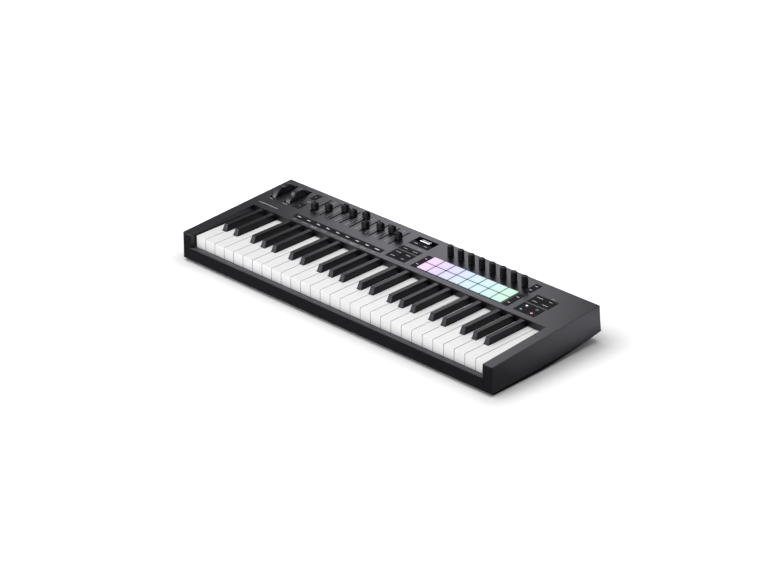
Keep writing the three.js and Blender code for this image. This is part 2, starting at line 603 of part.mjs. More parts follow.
for (let i = 0; i < ENCODER.count; i += 1) {
  const knob = piece(panel, `encoder_${i + 1}`, encoderKnob(), 0x232326, 0.55);
  knob.position.set(ENCODER.firstX + ENCODER.pitch * i, ENCODER.t, 0);
}
piece(panel, 'encoder_board', encoderBoard(), GREEN_BOARD, 0.6);

piece(panel, 'pad_mat', padMat(), 0xb8c8f0, 0.6);
piece(panel, 'pad_board', board([38, 234.6, 164, 216.6]), GREEN_BOARD, 0.6);
piece(panel, 'left_button_mat', buttonMat(LEFT_WINDOWS,
  [[-284.5, -41, 162.5, 180], [-284.5, -266.5, 178, 256]]), 0x2c2c2e, 0.7);
piece(panel, 'centre_button_mat', buttonMat(CENTRE_WINDOWS,
  [[-34, 16.3, 163, 237.8], [16, 39.9, 163, 214]]), 0x2c2c2e, 0.7);
piece(panel, 'right_button_mat', buttonMat(RIGHT_WINDOWS,
  [[233.1, 250.2, 163, 256], [250, 309.5, 163, 230]]), 0x2c2c2e, 0.7);
piece(panel, 'control_board', board([-262, 309, 157.6, 163.4], [-286, 37, 163, 190],
  [-286, -262, 180, 256], [-38, 20, 189, 236], [236, 309, 163, 230]), GREEN_BOARD, 0.6);

const { x0, x1, t0, t1 } = DISPLAY_WINDOW;
piece(panel, 'display_window', solid(box(x0 + GAP, x1 - GAP, t0, t1 - GAP, -1.2, 0.1)), 0x050507, 0.08);
piece(panel, 'display_module', solid(box(x0 + 2, x1 - 2, t0 + 1, t1 - 1.5, -6.4, -1.6)), 0x101014, 0.4);

const pitchWheel = wheel(0, [-8.1, 13.2], [-10.4, 15.4]);
piece(panel, 'pitch_wheel', pitchWheel, 0x3a3a3e, 0.6).position.set(PITCH_WHEEL_X, WHEEL.axisT, WHEEL.axisH);
const modWheel = wheel(MOD_WHEEL_REST, [-16.1, 9.3], [-18.4, 11.7]);
piece(panel, 'mod_wheel', modWheel, 0x3a3a3e, 0.6).position.set(MOD_WHEEL_X, WHEEL.axisT, WHEEL.axisH);
piece(panel, 'wheel_cradle', wheelCradle(), BLACK, 0.6);

export default keyboard;
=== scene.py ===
import json
import math

import bmesh
import bpy
from mathutils import Matrix, Vector


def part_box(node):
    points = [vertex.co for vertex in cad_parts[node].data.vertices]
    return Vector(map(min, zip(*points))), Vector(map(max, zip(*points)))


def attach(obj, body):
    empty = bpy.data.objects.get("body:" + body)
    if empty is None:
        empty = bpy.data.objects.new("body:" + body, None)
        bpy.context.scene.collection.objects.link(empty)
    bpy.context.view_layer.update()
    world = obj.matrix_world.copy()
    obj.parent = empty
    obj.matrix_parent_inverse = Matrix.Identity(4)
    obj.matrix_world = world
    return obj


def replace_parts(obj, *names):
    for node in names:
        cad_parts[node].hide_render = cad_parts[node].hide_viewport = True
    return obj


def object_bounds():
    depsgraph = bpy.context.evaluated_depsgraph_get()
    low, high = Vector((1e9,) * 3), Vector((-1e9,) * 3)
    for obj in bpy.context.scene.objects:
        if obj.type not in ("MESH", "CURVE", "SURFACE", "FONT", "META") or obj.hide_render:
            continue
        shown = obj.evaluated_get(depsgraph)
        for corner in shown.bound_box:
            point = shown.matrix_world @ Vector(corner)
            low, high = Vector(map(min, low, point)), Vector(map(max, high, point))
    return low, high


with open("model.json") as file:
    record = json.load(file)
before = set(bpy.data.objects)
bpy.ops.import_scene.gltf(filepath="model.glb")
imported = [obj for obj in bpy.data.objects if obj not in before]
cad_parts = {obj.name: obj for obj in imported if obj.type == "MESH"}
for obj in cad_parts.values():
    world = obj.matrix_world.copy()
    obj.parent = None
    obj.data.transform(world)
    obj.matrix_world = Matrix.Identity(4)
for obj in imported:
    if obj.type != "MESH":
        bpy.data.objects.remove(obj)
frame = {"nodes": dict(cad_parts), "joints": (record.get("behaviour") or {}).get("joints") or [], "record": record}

# A 49-key controller keyboard on a white studio floor. Lengths here are millimetres until MM scales
# them. Blender's own frame is the CAD row's: metres, origin on the floor under the middle of the case.
cad_low, cad_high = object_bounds()
scene = bpy.context.scene
MM = 0.001
JOINTS = {joint["name"]: joint for joint in frame["joints"]}

# Panel frame: x across, t up the sloping panel from its front edge, h square to the panel.
PANEL_TILT = math.asin(JOINTS["fader_1_slide"]["axis"][2])
PANEL_FRONT_Z = 0.0536
PANEL = Matrix.Translation((0, cad_low.y, PANEL_FRONT_Z)) @ Matrix.Rotation(PANEL_TILT, 4, "X")
PANEL_MM = PANEL @ Matrix.Scale(MM, 4)


def to_panel(point):
    """A row-frame point in panel millimetres."""
    return PANEL_MM.inverted() @ Vector(point)


def panel_box(node):
    """A CAD node's limits along the panel: (x0, x1, t0, t1, h0, h1) in millimetres."""
    points = [to_panel(vertex.co) for vertex in frame["nodes"][node].data.vertices]
    limits = []
    for axis in range(3):
        values = [point[axis] for point in points]
        limits += [min(values), max(values)]
    return limits


# Key frame: y = 0 at the front of the natural keys, z = 0 at their top.
KEYS = Matrix.Translation((0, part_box("key_c6")[0].y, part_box("key_c6")[1].z)) @ Matrix.Scale(MM, 4)


# ---------------------------------------------------------------- materials
def linear(red, green, blue):
    """Linear colour from 0-255 display values."""
    def channel(value):
        value /= 255
        return value / 12.92 if value <= 0.04045 else ((value + 0.055) / 1.055) ** 2.4
    return (channel(red), channel(green), channel(blue), 1)


class Nodes:
    """Short ways to add shader nodes to one material."""

    def __init__(self, name):
        self.material = bpy.data.materials.new(name)
        self.material.use_nodes = True
        self.tree = self.material.node_tree
        self.shader = self.tree.nodes["Principled BSDF"]
        self.place = self.add("ShaderNodeTexCoord").outputs["Object"]

    def add(self, kind, **settings):
        node = self.tree.nodes.new(kind)
        for key, value in settings.items():
            setattr(node, key, value)
        return node

    def link(self, source, target):
        self.tree.links.new(source, target)

    def noise(self, scale, detail=2, stretch=(1, 1, 1)):
        """Noise in object space; scale counts features per metre."""
        mapping = self.add("ShaderNodeMapping")
        mapping.inputs["Scale"].default_value = stretch
        texture = self.add("ShaderNodeTexNoise")
        texture.inputs["Scale"].default_value = scale
        texture.inputs["Detail"].default_value = detail
        self.link(self.place, mapping.inputs["Vector"])
        self.link(mapping.outputs["Vector"], texture.inputs["Vector"])
        return texture.outputs["Fac"]

    def ramp(self, value, *stops):
        node = self.add("ShaderNodeValToRGB")
        elements = node.color_ramp.elements
        while len(elements) < len(stops):
            elements.new(0.5)
        for element, (position, colour) in zip(elements, stops):
            element.position = position
            element.color = colour
        self.link(value, node.inputs["Fac"])
        return node.outputs["Color"]

    def remap(self, value, low, high, from_low=0.3, from_high=0.7):
        node = self.add("ShaderNodeMapRange")
        node.inputs["From Min"].default_value = from_low
        node.inputs["From Max"].default_value = from_high
        node.inputs["To Min"].default_value = low
        node.inputs["To Max"].default_value = high
        self.link(value, node.inputs["Value"])
        return node.outputs["Result"]

    def math(self, operation, first, second=0.0):
        node = self.add("ShaderNodeMath", operation=operation)
        for socket, value in zip(node.inputs, (first, second)):
            if isinstance(value, (int, float)):
                socket.default_value = value
            else:
                self.link(value, socket)
        return node.outputs["Value"]

    def bump(self, height, strength, distance):
        node = self.add("ShaderNodeBump")
        node.inputs["Strength"].default_value = strength
        node.inputs["Distance"].default_value = distance
        self.link(height, node.inputs["Height"])
        self.link(node.outputs["Normal"], self.shader.inputs["Normal"])

    def set(self, **values):
        for key, value in values.items():
            self.shader.inputs[key.replace("_", " ")].default_value = value


GRAIN_STRENGTH = 10
GRAIN_HEIGHT = 0.00005


def moulded(name, dark, light, roughness=(0.4, 0.5), specular=0.5, grain=1400, depth=0.03,
            mottle=25, stretch=(1, 1, 1), **values):
    """Moulded plastic, rubber or metal: drifting colour and roughness over a fine surface grain."""
    n = Nodes(name)
    drift = n.noise(mottle, 4, stretch)
    fine = n.noise(grain, 3, stretch)
    n.link(n.ramp(drift, (0.3, dark), (0.7, light)), n.shader.inputs["Base Color"])
    n.link(n.remap(fine, *roughness), n.shader.inputs["Roughness"])
    n.bump(fine, depth * GRAIN_STRENGTH, GRAIN_HEIGHT)
    n.set(Specular_IOR_Level=specular, **values)
    return n.material


def grey(value, tint=0):
    """A linear grey from a display value, with a touch of blue."""
    return linear(value, value, value + tint)


# A faintly blue gloss, as the photo's dark plastics have.
COOL = (0.93, 0.92, 1.0, 1)
case_plastic = moulded("case_plastic", grey(11, 2), grey(15, 3), (0.34, 0.42), 0.5, 1600, 0.03, 18,
                       Specular_Tint=COOL)
# Lighter grey for the upward faces of the ledge in front of the keys: painted sheen.
ledge_painted_sheen = moulded("ledge_painted_sheen", grey(38, 2), grey(46, 3), (0.4, 0.5), 0.9, 1600, 0.03, 18,
                       Specular_Tint=COOL)
# The bottom tray is darker than the case: painted shade on the underside.
tray_plastic = moulded("tray_plastic", grey(7), grey(10), (0.5, 0.62), 0.1, 900, 0.08, 30)
key_white = moulded("key_white", linear(230, 229, 229), linear(234, 233, 233), (0.24, 0.32), 0.06, 700,
                    0.01, 14, (1, 0.15, 1))
# Grey for the natural keys' upright sides instead of the key white: painted shade in the gaps between keys.
key_flank_painted_shade = moulded("key_flank_painted_shade", grey(150), grey(160), (0.5, 0.6), 0.05, 700, 0.02, 14)
key_black = moulded("key_black", grey(11, 1), grey(16, 2), (0.36, 0.44), 0.2, 1500, 0.04, 40,
                    Specular_Tint=COOL)
control_plastic = moulded("control_plastic", grey(14, 1), grey(20, 2), (0.5, 0.6), 0.3, 1800, 0.04, 60,
                          Specular_Tint=COOL)
wheel_rubber = moulded("wheel_rubber", grey(16, 1), grey(22, 2), (0.4, 0.5), 0.75, 2200, 0.06, 50,
                       Specular_Tint=COOL)
button_silicone = moulded("button_silicone", grey(38, 3), grey(44, 4), (0.8, 0.9), 0.02, 2000, 0.05, 60)
# Near-black, unreflecting rubber for the fader slots' dust lips: real lips, whose blackness is also painted shade
# inside the slots.
slot_lips_and_painted_shade = moulded("slot_lips_and_painted_shade", grey(4), grey(7), (0.9, 1.0), 0.0, 2000, 0.05, 60)
foot_rubber = moulded("foot_rubber", grey(22), grey(30), (0.75, 0.9), 0.25, 1200, 0.12, 60)
module_plastic = moulded("module_plastic", grey(16), grey(24), (0.35, 0.5), 0.4, 1500, 0.03, 40)
dome_rubber = moulded("dome_rubber", grey(150), grey(170), (0.6, 0.75), 0.3, 900, 0.05, 40)
chassis_plastic = moulded("chassis_plastic", grey(18), grey(26), (0.5, 0.6), 0.3, 700, 0.1, 20)
felt = moulded("felt", linear(84, 20, 26), linear(112, 30, 36), (0.9, 1), 0.1, 3500, 0.4, 300,
               Sheen_Weight=0.4)
steel = moulded("steel", grey(150), grey(176), (0.22, 0.36), 0.5, 2400, 0.02, 60, Metallic=1.0)
gold = moulded("gold_plate", linear(190, 150, 80), linear(206, 168, 96), (0.25, 0.35), 0.5, 2400, 0.02, 60,
               Metallic=1.0)
# White print with a faint glow: painted light that keeps it bright under any lamp.
print_white_painted_glow = moulded("print_white_painted_glow", grey(214), grey(236), (0.6, 0.7), 0.2, 2600, 0.02, 500,
                      Emission_Color=grey(255), Emission_Strength=0.12)
print_grey = moulded("print_grey", grey(168), grey(184), (0.6, 0.7), 0.2, 2600, 0.02, 500)
print_faint = moulded("print_faint", grey(140), grey(156), (0.6, 0.7), 0.2, 2600, 0.02, 500)
lamp_green = moulded("lamp_green", linear(110, 200, 170), linear(140, 220, 190), (0.5, 0.6), 0.3, 900, 0.02,
                     500, Emission_Color=linear(120, 220, 180), Emission_Strength=0.35)
lamp_red = moulded("lamp_red", linear(224, 120, 150), linear(240, 150, 175), (0.5, 0.6), 0.3, 900, 0.02,
                   500, Emission_Color=linear(250, 130, 165), Emission_Strength=0.35)
lamp_white = moulded("lamp_white", grey(226), grey(245), (0.5, 0.6), 0.3, 900, 0.02,
                     500, Emission_Color=grey(255), Emission_Strength=0.5)
screen_glow = moulded("screen_glow", grey(200), grey(220), (0.4, 0.5), 0.3, 900, 0.0, 900,
                      Emission_Color=linear(236, 240, 255), Emission_Strength=0.8)


def circuit_board():
    """Dark green solder mask with a net of lighter track lines."""
    n = Nodes("board")
    cells = n.add("ShaderNodeTexVoronoi", feature="DISTANCE_TO_EDGE")
    cells.inputs["Scale"].default_value = 260
    n.link(n.place, cells.inputs["Vector"])
    track_colour = (0.004, 0.02, 0.008, 1)
    mask_colour = (0.002, 0.008, 0.004, 1)
    tracks = n.ramp(cells.outputs["Distance"], (0.04, track_colour), (0.08, mask_colour))
    n.link(tracks, n.shader.inputs["Base Color"])
    n.link(n.remap(n.noise(900), 0.3, 0.5), n.shader.inputs["Roughness"])
    n.bump(cells.outputs["Distance"], 0.2, 0.0001)
    n.set(Specular_IOR_Level=0.4)
    return n.material


def display_glass():
    """Glossy black window with faint dust."""
    n = Nodes("display_lens")
    dust = n.noise(2600, 4)
    n.link(n.ramp(dust, (0.66, (0.0015, 0.0015, 0.002, 1)), (0.74, (0.006, 0.006, 0.007, 1))),
           n.shader.inputs["Base Color"])
    n.link(n.remap(dust, 0.05, 0.14), n.shader.inputs["Roughness"])
    n.set(Specular_IOR_Level=0.0)
    return n.material


PAD_COLUMNS = 8
PAD_ROWS = 2
# How far from a pad's middle, in pad widths, its rim colour begins and is full, and the most of it used.
RIM_START = 0.28
RIM_FULL = 0.5
RIM_SHARE = 0.34


def lit_pads(name, low, high, stops, glow, body_share):
    """Back-lit silicone: the hue runs along the row, and each pad is a little deeper near its rim."""
    n = Nodes(name)
    split = n.add("ShaderNodeSeparateXYZ")
    n.link(n.place, split.inputs["Vector"])
    along = n.remap(split.outputs["X"], 0, 1, low.x, high.x)
    back = n.remap(split.outputs["Y"], 0, 1, low.y, high.y)
    hue = n.ramp(along, *[(place, linear(*pale)) for place, pale, _ in stops])
    deep = n.ramp(along, *[(place, linear(*rich)) for place, _, rich in stops])
    rims = []
    for value, count in ((along, PAD_COLUMNS), (back, PAD_ROWS)):
        part = n.math("FRACT", n.math("MULTIPLY", value, count))
        off_middle = n.math("ABSOLUTE", n.math("SUBTRACT", part, 0.5))
        rims.append(n.remap(off_middle, 0, 1, RIM_START, RIM_FULL))
    rim = n.math("MULTIPLY", n.math("MAXIMUM", *rims), RIM_SHARE)
    mix = n.add("ShaderNodeMix", data_type="RGBA")
    n.link(rim, mix.inputs["Factor"])
    n.link(hue, mix.inputs[6])
    n.link(deep, mix.inputs[7])
    body = n.add("ShaderNodeVectorMath", operation="SCALE")
    body.inputs["Scale"].default_value = body_share
    n.link(mix.outputs[2], body.inputs[0])
    grain = n.noise(1800, 2)
    n.link(body.outputs["Vector"], n.shader.inputs["Base Color"])
    n.link(mix.outputs[2], n.shader.inputs["Emission Color"])
    n.link(n.remap(grain, 0.55, 0.7), n.shader.inputs["Roughness"])
    n.bump(grain, 0.2, 0.00004)
    n.set(Specular_IOR_Level=0.05, Emission_Strength=glow)
    return n.material


# The floor glows least at the nearer of these distances from the case, in metres, and most at the farther.
GLOW_NEAR, GLOW_FAR = 0.015, 0.22
GLOW_LEAST, GLOW_MOST = 0.01, 0.9


def floor_paint():
    """White paper that glows more with distance from the case, so only the near shadow shows."""
    n = Nodes("floor_paper")
    fibre = n.noise(60, 3)
    n.link(n.ramp(fibre, (0.3, grey(246)), (0.7, grey(249))), n.shader.inputs["Base Color"])
    n.link(n.remap(fibre, 0.85, 0.95), n.shader.inputs["Roughness"])
    split = n.add("ShaderNodeSeparateXYZ")
    n.link(n.place, split.inputs["Vector"])
    squares = []
    for name, edge in (("X", cad_high.x), ("Y", cad_high.y)):
        past = n.math("SUBTRACT", n.math("ABSOLUTE", split.outputs[name]), edge)
        past = n.math("MAXIMUM", past, 0.0)
        squares.append(n.math("MULTIPLY", past, past))
    away = n.math("SQRT", n.math("ADD", *squares))
    glow = n.remap(away, GLOW_LEAST, GLOW_MOST, GLOW_NEAR, GLOW_FAR)
    n.link(glow, n.shader.inputs["Emission Strength"])
    n.set(Specular_IOR_Level=0.0, Emission_Color=grey(255))
    return n.material


board_mask = circuit_board()
display_lens = display_glass()
MAT_LOW, MAT_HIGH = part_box("pad_mat")
# Stops along the row of pads: place, the lit top's colour, and the deeper colour at its rim.
PAD_STOPS = [
    (0.03, (251, 226, 252), (240, 150, 245)),
    (0.22, (234, 225, 252), (186, 166, 245)),
    (0.5, (226, 242, 253), (150, 200, 245)),
    (0.75, (224, 250, 252), (150, 225, 235)),
    (0.97, (220, 251, 233), (140, 235, 185)),
]
pad_silicone = lit_pads("pad_silicone", MAT_LOW, MAT_HIGH, PAD_STOPS, 0.8, 0.2)
# Deeper, dimmer colours with almost no glow for the pads' sides: painted shade in the gaps between pads.
PAD_SIDE_SHADE_STOPS = [(place, rich, tuple(value * 0.6 for value in rich)) for place, _, rich in PAD_STOPS]
pad_side_painted_shade = lit_pads("pad_side_painted_shade", MAT_LOW, MAT_HIGH, PAD_SIDE_SHADE_STOPS, 0.05, 0.06)

CAD_FINISH = {
    tray_plastic: ["bottom_case"],
    foot_rubber: ["front_left_foot", "front_right_foot", "rear_left_foot", "rear_right_foot"],
    chassis_plastic: ["keybed_chassis"],
    felt: ["key_felt"],
    dome_rubber: ["contact_strip"],
    board_mask: ["contact_board", "io_board", "fader_board", "encoder_board", "pad_board", "control_board"],
    display_lens: ["display_window"],
    module_plastic: ["display_module", "wheel_cradle"],
}
for finish, names in CAD_FINISH.items():
    for node_name in names:
        frame["nodes"][node_name].data.materials[0] = finish


# ---------------------------------------------------------------- mesh helpers
# Without a bevel, edges sharper than SHARP_EDGE are shaded as edges; a bevel rounds those over BEVEL_ANGLE.
SHARP_EDGE = math.radians(36)
BEVEL_ANGLE = math.radians(30)


def publish(name, mesh, body, material, bevel=0.0, segments=2, weights=False):
    """Turns a bmesh into a shaded piece that rides on a CAD body; bevel is its edge rounding, in mm.

    With weights, each edge's own bevel weight says how much of that rounding it gets.
    """
    bmesh.ops.recalc_face_normals(mesh, faces=mesh.faces)
    if not bevel:
        for edge in mesh.edges:
            edge.smooth = edge.calc_face_angle(0) < SHARP_EDGE
    data = bpy.data.meshes.new(name)
    mesh.to_mesh(data)
    mesh.free()
    data.materials.append(material)
    for face in data.polygons:
        face.use_smooth = True
    piece = bpy.data.objects.new(name, data)
    scene.collection.objects.link(piece)
    if bevel:
        modifier = piece.modifiers.new("edge_rounding", "BEVEL")
        modifier.width = bevel * MM
        modifier.segments = segments
        modifier.limit_method = "WEIGHT" if weights else "ANGLE"
        modifier.angle_limit = BEVEL_ANGLE
        modifier.use_clamp_overlap = not weights
    shading = piece.modifiers.new("flat_faces", "WEIGHTED_NORMAL")
    shading.keep_sharp = True
    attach(piece, body)
    return piece


def loft(mesh, rings, matrix):
    """A closed skin through equal rings of points, with both ends capped."""
    rows = [[mesh.verts.new(matrix @ Vector(point)) for point in ring] for ring in rings]
    count = len(rows[0])
    for lower, upper in zip(rows, rows[1:]):
        for i in range(count):
            j = (i + 1) % count
            mesh.faces.new((lower[i], lower[j], upper[j], upper[i]))
    mesh.faces.new(rows[0][::-1])
    mesh.faces.new(rows[-1])


def blocks(mesh, boxes, matrix):
    """The outside of a union of boxes (x0, x1, y0, y1, z0, z1), built cell by cell so that it is closed."""
    axes = [sorted({box[2 * k + side] for box in boxes for side in (0, 1)}) for k in range(3)]
    filled = set()
    for x0, x1, y0, y1, z0, z1 in boxes:
        spans = [
            [i for i, value in enumerate(axis[:-1]) if low <= value < high]
            for axis, low, high in zip(axes, (x0, y0, z0), (x1, y1, z1))
        ]
        filled.update((i, j, k) for i in spans[0] for j in spans[1] for k in spans[2])
    corners = {}

    def corner(i, j, k):
        if (i, j, k) not in corners:
            corners[(i, j, k)] = mesh.verts.new(matrix @ Vector((axes[0][i], axes[1][j], axes[2][k])))
        return corners[(i, j, k)]

    made = []
    for cell in sorted(filled):
        for axis in range(3):
            for side in (0, 1):
                beside = list(cell)
                beside[axis] += 2 * side - 1
                if tuple(beside) in filled:
                    continue
                first, second = [a for a in range(3) if a != axis]
                loop = []
                for u, v in ((0, 0), (1, 0), (1, 1), (0, 1)):
                    index = list(cell)
                    index[axis] += side
                    index[first] += u
                    index[second] += v
                    loop.append(corner(*index))
                made.append(mesh.faces.new(loop))
    bmesh.ops.recalc_face_normals(mesh, faces=made)
    bmesh.ops.dissolve_limit(mesh, angle_limit=0.01, verts=mesh.verts, edges=mesh.edges)


def rounded_box(x0, x1, y0, y1, radius, inset=0.0, steps=4):
    """A rectangle's outline with round corners, anticlockwise."""
    radius = max(radius - inset, 0.02)
    left, right, front, rear = x0 + inset, x1 - inset, y0 + inset, y1 - inset
    centres = [
        (right - radius, rear - radius, 0),
        (left + radius, rear - radius, 90),
        (left + radius, front + radius, 180),
        (right - radius, front + radius, 270),
    ]
    points = []
    for x, y, start in centres:
        for step in range(steps + 1):
            angle = math.radians(start + 90 * step / steps)
            points.append((x + radius * math.cos(angle), y + radius * math.sin(angle)))
    return points


def cushion(mesh, outline, layers, matrix):
    """A button or pad: an outline function of inset, stacked at (height, inset) layers."""
    loft(mesh, [[(x, y, height) for x, y in outline(inset)] for height, inset in layers], matrix)


def circle(radius, steps):
    """Points of a circle round the origin, anticlockwise."""
    angles = [2 * math.pi * i / steps for i in range(steps)]
    return [(radius * math.cos(angle), radius * math.sin(angle)) for angle in angles]


def lathe(mesh, profile, matrix, steps):
    """A turned solid along Z from (radius, height) pairs; its end rings are capped."""
    loft(mesh, [[(x, y, z) for x, y in circle(radius, steps)] for radius, z in profile], matrix)


def fillet(points, radius):
    """Rounds each corner of a closed outline, by at most the given distance along its sides."""
    steps = 3
    made = []
    for i, corner in enumerate(points):
        here = Vector(corner)
        before = Vector(points[i - 1]) - here
        after = Vector(points[(i + 1) % len(points)]) - here
        start = here + before * min(radius / before.length, 0.45)
        end = here + after * min(radius / after.length, 0.45)
        for step in range(steps + 1):
            u = step / steps
            point = start * (1 - u) ** 2 + here * 2 * u * (1 - u) + end * u ** 2
            made.append((point.x, point.y))
    return made


def raised_tops(node):
    """Rectangles (x0, x1, t0, t1) of a mat's separate top faces, in panel millimetres."""
    source = frame["nodes"][node].data
    points = [to_panel(vertex.co) for vertex in source.vertices]
    top = max(point.z for point in points)
    groups = []
    for face in source.polygons:
        if all(abs(points[i].z - top) < 0.02 for i in face.vertices):
            spot = {tuple(round(value, 2) for value in points[i]) for i in face.vertices}
            joined = [group for group in groups if group & spot]
            for group in joined:
                groups.remove(group)
                spot |= group
            groups.append(spot)
    rects = []
    for group in groups:
        xs = [point[0] for point in group]
        ts = [point[1] for point in group]
        rects.append((min(xs), max(xs), min(ts), max(ts)))
    return sorted(rects, key=lambda rect: (round(rect[2]), rect[0]))


# ---------------------------------------------------------------- case
FLAT_ANGLE = math.radians(0.6)
EDGE_ANGLE = math.radians(35)
OUTER_ROUNDING = 1.0


def refined_cad(name, node, body, material, corner, detail):
    """A CAD shell with its flat faces merged and its edges rounded, by millimetres.

    The upright front corners get corner, the other edges of the sides and the front get OUTER_ROUNDING,
    and the edges of cut-outs get detail.
    """
    mesh = bmesh.new()
    mesh.from_mesh(frame["nodes"][node].data)
    bmesh.ops.remove_doubles(mesh, verts=mesh.verts, dist=1e-6)
    bmesh.ops.dissolve_limit(mesh, angle_limit=FLAT_ANGLE, verts=mesh.verts, edges=mesh.edges)
    low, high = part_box(node)
    weight = mesh.edges.layers.float.new("bevel_weight_edge")
    for edge in mesh.edges:
        if len(edge.link_faces) != 2 or edge.calc_face_angle(0) < EDGE_ANGLE:
            continue
        ends = [vertex.co for vertex in edge.verts]
        on_side = all(min(abs(p.x - low.x), abs(p.x - high.x)) < 1e-5 for p in ends)
        on_front = all(abs(p.y - low.y) < 1e-5 for p in ends)
        upright = (ends[0] - ends[1]).normalized().z ** 2 > 0.98
        if on_side and on_front and upright:
            edge[weight] = 1.0
        else:
            edge[weight] = (OUTER_ROUNDING if on_side or on_front else detail) / corner
    piece = publish(name, mesh, body, material, corner, 3, weights=True)
    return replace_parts(piece, node)


def case_shell():
    """The upper shell; the ledge in front of the keys has a glossier plastic whose lighter grey is painted sheen.
    """
    shell = refined_cad("case_shell", "top_case", "case", case_plastic, 3.0, 0.3)
    shell.data.materials.append(ledge_painted_sheen)
    keys_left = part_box("natural_keys_octave_2")[0].x
    keys_front = KEYS.translation.y
    for face in shell.data.polygons:
        on_ledge = face.center.y < keys_front and abs(face.center.x) < abs(keys_left)
        if on_ledge and face.normal.z > 0.9:
            face.material_index = 1


case_shell()


def slip_ribs():
    """Two long ribs on the ledge in front of the keys."""
    mesh = bmesh.new()
    half = 341.5
    ledge = -21.9
    low, high = ledge - 0.1, ledge + 0.75
    for y in (-7.6, -4.4):
        profile = [(y - 0.9, low), (y - 0.5, high), (y + 0.5, high), (y + 0.9, low)]
        loft(mesh, [[(x, py, pz) for py, pz in profile] for x in (-half, half)], KEYS)
    # The ribs take the ledge's lighter grey: painted sheen.
    return publish("slip_ribs", mesh, "case", ledge_painted_sheen, 0.2)


slip_ribs()


# ---------------------------------------------------------------- keys
NATURALS = ["c", "d", "e", "f", "g", "a", "b"]
SHARPS = {"c": 0, "d": 1, "f": 3, "g": 4, "a": 5}
MODEL_OCTAVE = 4
KEY_PITCH = (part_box("key_d4")[0].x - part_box("key_c4")[0].x) / MM
KEY_WIDTH = (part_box("key_c4")[1].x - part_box("key_c4")[0].x) / MM
KEY_GAP = KEY_PITCH - KEY_WIDTH
# Key-frame depths and heights that the naturals and sharps share.
KEY_REAR = 171.8
CUT_HALF = 6.0
ACTUATOR_RIB = (98, 102)
PIVOT_RIB = (160, 163)
ACTUATOR_BOTTOM = -13.5
PIVOT_BOTTOM = -13.2
RIB_HALF = 3
NATURAL_LIP = 2.6
NATURAL_DROP = -22
NATURAL_PLATE = -8
NATURAL_HEAD = 46
SHARP_REAR = 137
SHARP_PLATE = -10
NO_CUT = 1e9
MODEL_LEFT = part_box("key_c4")[0].x / MM - KEY_GAP / 2
SHARP_OFFSET = {
    name: sum(corner.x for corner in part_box(f"key_{name}_sharp_4")) / 2 / MM - MODEL_LEFT
    for name in SHARPS
}


def key_ribs(middle, top):
    """The actuator rib and the pivot rib under a key, from the underside of its plate."""
    x0, x1 = middle - RIB_HALF, middle + RIB_HALF
    return [(x0, x1, *ACTUATOR_RIB, ACTUATOR_BOTTOM, top), (x0, x1, *PIVOT_RIB, PIVOT_BOTTOM, top)]


def natural_key(name, body, left, cut_left, cut_right, node):
    """A natural: a head with a front lip, and a neck cut back beside the sharps."""
    x0 = left + KEY_GAP / 2
    x1 = x0 + KEY_WIDTH
    neck0 = max(x0, cut_left)
    neck1 = min(x1, cut_right)
    middle = (neck0 + neck1) / 2
    mesh = bmesh.new()
    blocks(mesh, [
        (x0, x1, 0, NATURAL_LIP, NATURAL_DROP, 0),
        (x0, x1, NATURAL_LIP, NATURAL_HEAD, NATURAL_PLATE, 0),
        (neck0, neck1, NATURAL_HEAD, KEY_REAR, NATURAL_PLATE, 0),
        *key_ribs(middle, NATURAL_PLATE),
    ], KEYS)
    piece = publish(name, mesh, body, key_white, 0.3, 2)
    # Faces square to x, the key's sides, take the grey flank material: painted shade in the gaps between keys.
    piece.data.materials.append(key_flank_painted_shade)
    for face in piece.data.polygons:
        face.material_index = 1 if abs(face.normal.x) > 0.9 else 0
    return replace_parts(piece, node)


# A sharp's cap: (height, half width, front) at the foot, just above it, and at the top.
SHARP_LEVELS = ((-0.5, 5.3, 47), (0.8, 5.25, 47.4), (12, 4.5, 52))
CAP_ROUNDING = 0.5
CAP_CREASE = 0.5


def sharp_key(name, body, centre, node):
    """A sharp: a tapered cap with a sloping front, on a shank that runs back to the pivot."""
    mesh = bmesh.new()
    rings = []
    for z, half, front in SHARP_LEVELS:
        left, right = centre - half, centre + half
        rings.append([(left, front, z), (right, front, z), (right, SHARP_REAR, z), (left, SHARP_REAR, z)])
    loft(mesh, rings, KEYS)
    bmesh.ops.recalc_face_normals(mesh, faces=mesh.faces)
    above = KEYS.translation.z + 0.2 * MM
    edges = [edge for edge in mesh.edges if min(vertex.co.z for vertex in edge.verts) > above
             and edge.calc_face_angle(0) > CAP_CREASE]
    bmesh.ops.bevel(mesh, geom=edges, offset=CAP_ROUNDING * MM, segments=3, profile=0.5, affect="EDGES",
                    clamp_overlap=True)
    shank_mesh = bmesh.new()
    blocks(shank_mesh, [
        (centre - 4.8, centre + 4.8, 47.8, KEY_REAR, SHARP_PLATE, -0.45),
        *key_ribs(centre, SHARP_PLATE),
    ], KEYS)
    shank = bpy.data.meshes.new("shank")
    shank_mesh.to_mesh(shank)
    shank_mesh.free()
    mesh.from_mesh(shank)
    piece = publish(name, mesh, body, key_black)
    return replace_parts(piece, node)


